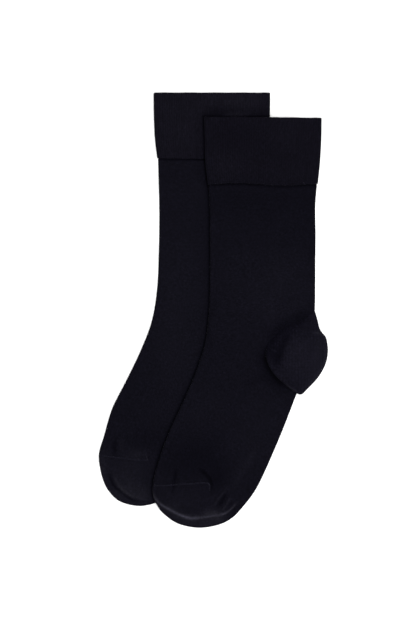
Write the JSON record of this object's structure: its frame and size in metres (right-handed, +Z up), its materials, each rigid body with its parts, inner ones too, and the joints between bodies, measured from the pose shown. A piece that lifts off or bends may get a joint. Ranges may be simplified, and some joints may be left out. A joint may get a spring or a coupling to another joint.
{
  "type": "pair of crew socks",
  "caption": "Plain dark fine-knit crew socks with doubled ribbed cuffs, laid flat in profile, the upper one lying half over the lower one.",
  "frame": {"origin": "middle of the pair's footprint, on the surface that it lies on", "axes": "+Y towards the cuffs, +X towards the heels, +Z up, away from the surface"},
  "size_m": [0.183, 0.3476, 0.0124],
  "materials": {
    "ribbed_cuff_knit": "matt near-black navy cotton knit in a fine one-by-one rib",
    "plain_knit": "matt near-black navy cotton knit, fine and plain",
    "heel_knit": "matt near-black navy cotton knit, fine and plain, slightly fuller"
  },
  "bodies": {
    "root": {"lower_sock_cuff": "ribbed_cuff_knit", "lower_sock_leg_and_foot": "plain_knit", "lower_sock_heel_pocket": "heel_knit", "upper_sock_cuff": "ribbed_cuff_knit", "upper_sock_leg_and_foot": "plain_knit", "upper_sock_heel_pocket": "heel_knit"}
  },
  "joints": []
}
